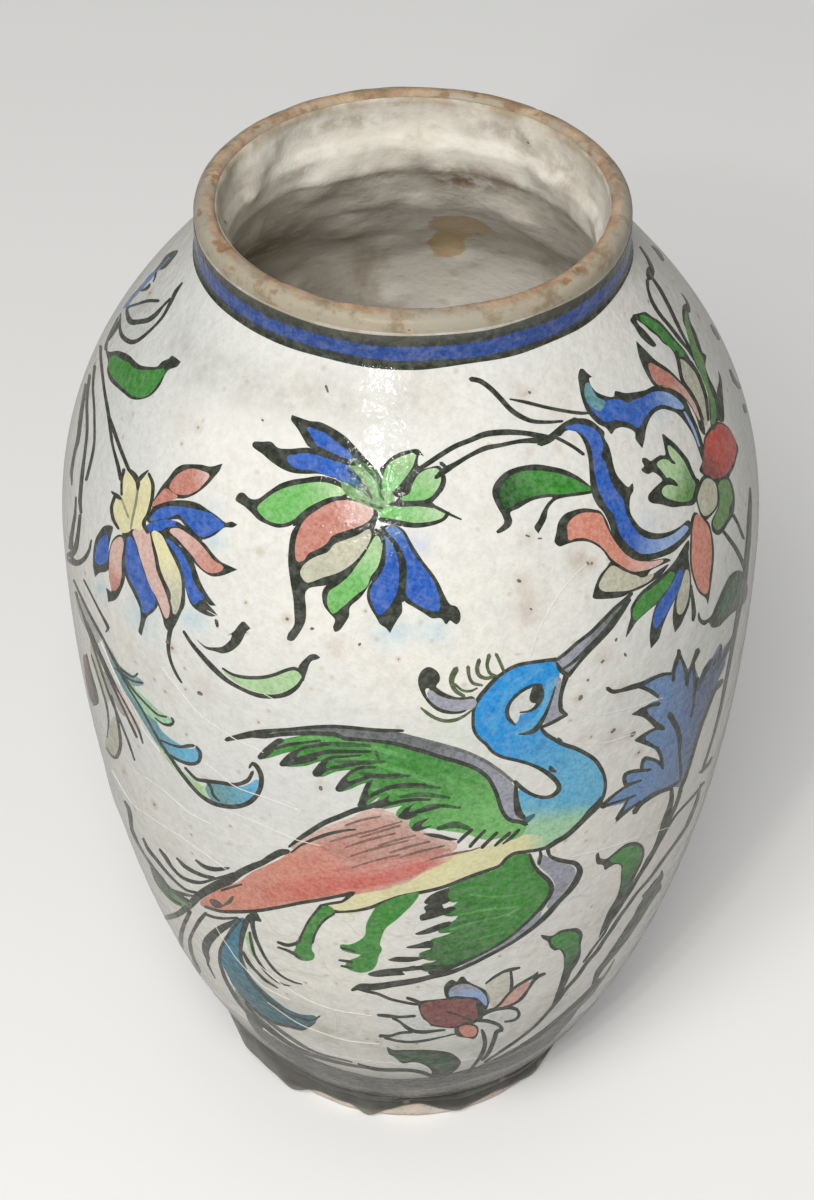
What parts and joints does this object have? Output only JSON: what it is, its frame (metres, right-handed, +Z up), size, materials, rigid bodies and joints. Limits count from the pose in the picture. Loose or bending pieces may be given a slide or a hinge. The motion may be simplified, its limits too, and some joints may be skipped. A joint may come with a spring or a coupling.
{
  "type": "ceramic vase",
  "caption": "Tall ovoid glazed ceramic vase with a wide mouth, short upright neck, swelling shoulder and bare foot ring; holds flowers or stands as an ornament.",
  "frame": {"origin": "middle of the foot, on the surface the vase stands on", "axes": "+Z up the vase's own axis, towards the mouth; -Y is the side that faces the viewer"},
  "size_m": [0.2068, 0.2068, 0.315],
  "materials": {
    "fired_clay": "bare buff fired clay, matt",
    "lip_clay": "bare buff clay of the lip, worn, with a thin pale film of glaze",
    "joint_slip": "fired luting slip, matt",
    "white_slip": "fine white slip under the glaze",
    "outer_glaze": "clear glossy glaze over underglaze painting, crazed and specked",
    "inner_glaze": "thin stained clear glaze, half gloss",
    "foot_glaze": "thick grey gathered glaze with runs"
  },
  "bodies": {
    "root": {"foot_ring": "fired_clay", "lower_bowl": "fired_clay", "upper_bowl": "fired_clay", "neck_collar": "lip_clay", "foot_seam_slip": "joint_slip", "belly_seam_slip": "joint_slip", "neck_seam_slip": "joint_slip", "white_ground": "white_slip", "outer_glaze": "outer_glaze", "inner_glaze": "inner_glaze", "glaze_roll": "foot_glaze"}
  },
  "joints": []
}
